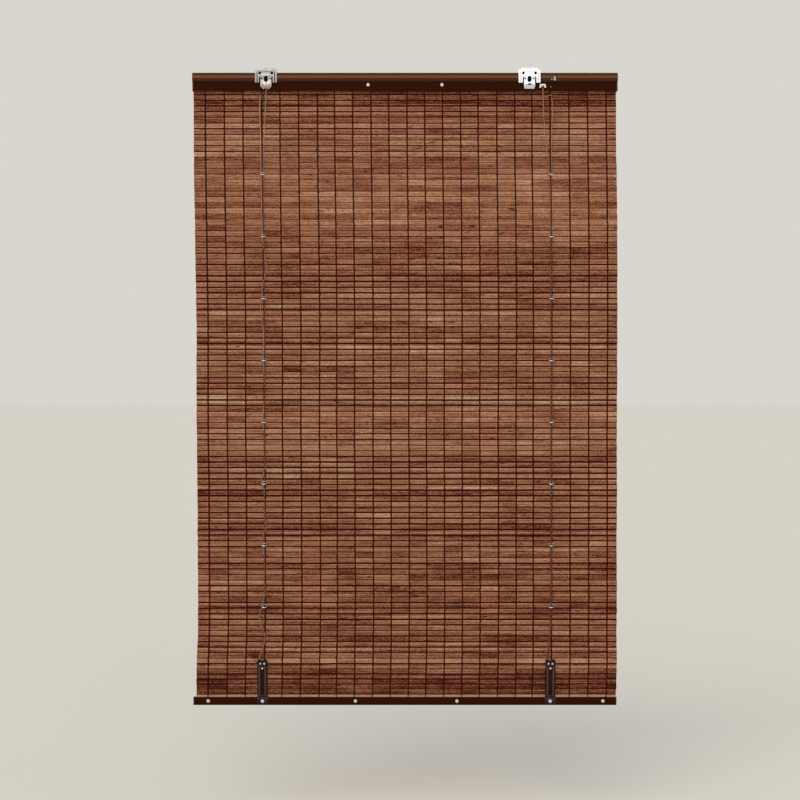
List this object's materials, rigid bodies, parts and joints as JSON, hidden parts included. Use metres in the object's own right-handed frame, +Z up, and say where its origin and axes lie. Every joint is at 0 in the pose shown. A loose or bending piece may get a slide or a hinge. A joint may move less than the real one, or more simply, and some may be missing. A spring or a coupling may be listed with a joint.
{
  "type": "roman shade",
  "caption": "Woven reed roman shade with a headrail, sprung steel brackets, lift cords in rows of rings, cord cleats and a straight bottom rail.",
  "frame": {"origin": "where the wall plane (backs of the brackets) meets the ceiling plane (tops of the brackets), above the middle of the rails", "axes": "+Z up; +Y from the wall into the room; +X along the rails, to the right as seen from the wall side"},
  "size_m": [0.914, 0.0432, 1.3717],
  "materials": {
    "rail_paint": "semi-gloss dark bronze paint on an aluminium extrusion",
    "rail_cap": "moulded, dark brown",
    "nickel_plate": "bright nickel-plated sheet steel",
    "nylon_white": "moulded nylon",
    "motor_black": "moulded, black",
    "spring_steel": "rolled strip",
    "screw_zinc": "bright zinc plated",
    "reed": "split reeds, light brown, matt",
    "spline_black": "extruded strip",
    "ring_plastic": "thin moulded rings",
    "cord_tan": "braided polyester",
    "cleat_brown": "moulded, dark brown"
  },
  "bodies": {
    "headrail_unit": {"headrail": "rail_paint", "motor_base": "motor_black", "motor_cover": "motor_black", "motor_screws": "screw_zinc", "motor_spring": "spring_steel", "reed_mat": "reed", "mat_spline": "spline_black", "headrail_cap_left": "rail_cap", "bracket_left": "nickel_plate", "bracket_clip_left": "nickel_plate", "bracket_rivets_left": "nickel_plate", "cord_outlet_left": "nylon_white", "cord_run_left": "cord_tan", "lift_cord_left": "cord_tan", "guard_cord_left": "cord_tan", "guard_knot_left": "cord_tan", "headrail_cap_right": "rail_cap", "bracket_right": "nickel_plate", "bracket_clip_right": "nickel_plate", "bracket_rivets_right": "nickel_plate", "cord_outlet_right": "nylon_white", "cord_run_right": "cord_tan", "lift_cord_right": "cord_tan", "guard_cord_right": "cord_tan", "guard_knot_right": "cord_tan"},
    "bottom_unit": {"bottom_rail": "rail_paint", "bottom_screws": "screw_zinc", "cord_tail": "cord_tan", "bottom_cap_left": "rail_cap", "cleat_body_left": "cleat_brown", "cleat_studs_left": "screw_zinc", "cleat_cord_left": "cord_tan", "cleat_wraps_left": "cord_tan", "bottom_cap_right": "rail_cap", "cleat_body_right": "cleat_brown", "cleat_studs_right": "screw_zinc", "cleat_cord_right": "cord_tan", "cleat_wraps_right": "cord_tan"},
    "ring_row_1": {"ring_row_1": "ring_plastic"},
    "ring_row_2": {"ring_row_2": "ring_plastic"},
    "ring_row_3": {"ring_row_3": "ring_plastic"},
    "ring_row_4": {"ring_row_4": "ring_plastic"},
    "ring_row_5": {"ring_row_5": "ring_plastic"},
    "ring_row_6": {"ring_row_6": "ring_plastic"},
    "ring_row_7": {"ring_row_7": "ring_plastic"},
    "ring_row_8": {"ring_row_8": "ring_plastic"},
    "cord_drum_left": {"cord_drum_left": "nylon_white"},
    "output_drum": {"output_drum": "nylon_white"},
    "idler_gear": {"idler_gear": "nylon_white"},
    "cord_drum_right": {"cord_drum_right": "nylon_white"},
    "storage_drum": {"storage_drum": "nylon_white"}
  },
  "joints": [
    {"name": "shade_lift", "type": "slide", "parent": "headrail_unit", "child": "bottom_unit", "axis": [0, 0, 1], "range_m": [0, 1.1], "deforming": ["reed_mat", "lift_cord_left", "lift_cord_right", "guard_cord_left", "guard_cord_right"]},
    {"name": "ring_row_1_rise", "type": "slide", "parent": "headrail_unit", "child": "ring_row_1", "axis": [0, 0, 1], "range_m": [0, 0.1634]},
    {"name": "ring_row_2_rise", "type": "slide", "parent": "headrail_unit", "child": "ring_row_2", "axis": [0, 0, 1], "range_m": [0, 0.2825]},
    {"name": "ring_row_3_rise", "type": "slide", "parent": "headrail_unit", "child": "ring_row_3", "axis": [0, 0, 1], "range_m": [0, 0.4015]},
    {"name": "ring_row_4_rise", "type": "slide", "parent": "headrail_unit", "child": "ring_row_4", "axis": [0, 0, 1], "range_m": [0, 0.5206]},
    {"name": "ring_row_5_rise", "type": "slide", "parent": "headrail_unit", "child": "ring_row_5", "axis": [0, 0, 1], "range_m": [0, 0.6396]},
    {"name": "ring_row_6_rise", "type": "slide", "parent": "headrail_unit", "child": "ring_row_6", "axis": [0, 0, 1], "range_m": [0, 0.7587]},
    {"name": "ring_row_7_rise", "type": "slide", "parent": "headrail_unit", "child": "ring_row_7", "axis": [0, 0, 1], "range_m": [0, 0.8777]},
    {"name": "ring_row_8_rise", "type": "slide", "parent": "headrail_unit", "child": "ring_row_8", "axis": [0, 0, 1], "range_m": [0, 0.9967]},
    {"name": "cord_drum_left_turn", "type": "hinge", "parent": "headrail_unit", "child": "cord_drum_left", "pos_m": [-0.036, 0.025, -0.0242], "axis": [0, 1, 0], "range_deg": [-6760, 0]},
    {"name": "output_drum_turn", "type": "hinge", "parent": "headrail_unit", "child": "output_drum", "pos_m": [-0.012, 0.025, -0.0242], "axis": [0, 1, 0], "range_deg": [0, 6760]},
    {"name": "idler_gear_turn", "type": "hinge", "parent": "headrail_unit", "child": "idler_gear", "pos_m": [0.012, 0.025, -0.0242], "axis": [0, 1, 0], "range_deg": [-6760, 0]},
    {"name": "cord_drum_right_turn", "type": "hinge", "parent": "headrail_unit", "child": "cord_drum_right", "pos_m": [0.036, 0.025, -0.0242], "axis": [0, 1, 0], "range_deg": [0, 6760]},
    {"name": "storage_drum_turn", "type": "hinge", "parent": "headrail_unit", "child": "storage_drum", "pos_m": [0.012, 0.025, -0.0242], "axis": [0, 1, 0], "range_deg": [-6760, 0], "deforming": ["motor_spring"]}
  ],
  "couplings": [
    {"joint": "ring_row_1_rise", "follows": "shade_lift", "ratio": 0.14812},
    {"joint": "ring_row_2_rise", "follows": "shade_lift", "ratio": 0.25634},
    {"joint": "ring_row_3_rise", "follows": "shade_lift", "ratio": 0.36456},
    {"joint": "ring_row_4_rise", "follows": "shade_lift", "ratio": 0.47278},
    {"joint": "ring_row_5_rise", "follows": "shade_lift", "ratio": 0.581},
    {"joint": "ring_row_6_rise", "follows": "shade_lift", "ratio": 0.68923},
    {"joint": "ring_row_7_rise", "follows": "shade_lift", "ratio": 0.79745},
    {"joint": "ring_row_8_rise", "follows": "shade_lift", "ratio": 0.90567},
    {"joint": "cord_drum_left_turn", "follows": "shade_lift", "rad_per_m": -106.95},
    {"joint": "output_drum_turn", "follows": "shade_lift", "rad_per_m": 106.95},
    {"joint": "idler_gear_turn", "follows": "shade_lift", "rad_per_m": -106.95},
    {"joint": "cord_drum_right_turn", "follows": "shade_lift", "rad_per_m": 106.95},
    {"joint": "storage_drum_turn", "follows": "shade_lift", "rad_per_m": -106.95}
  ]
}
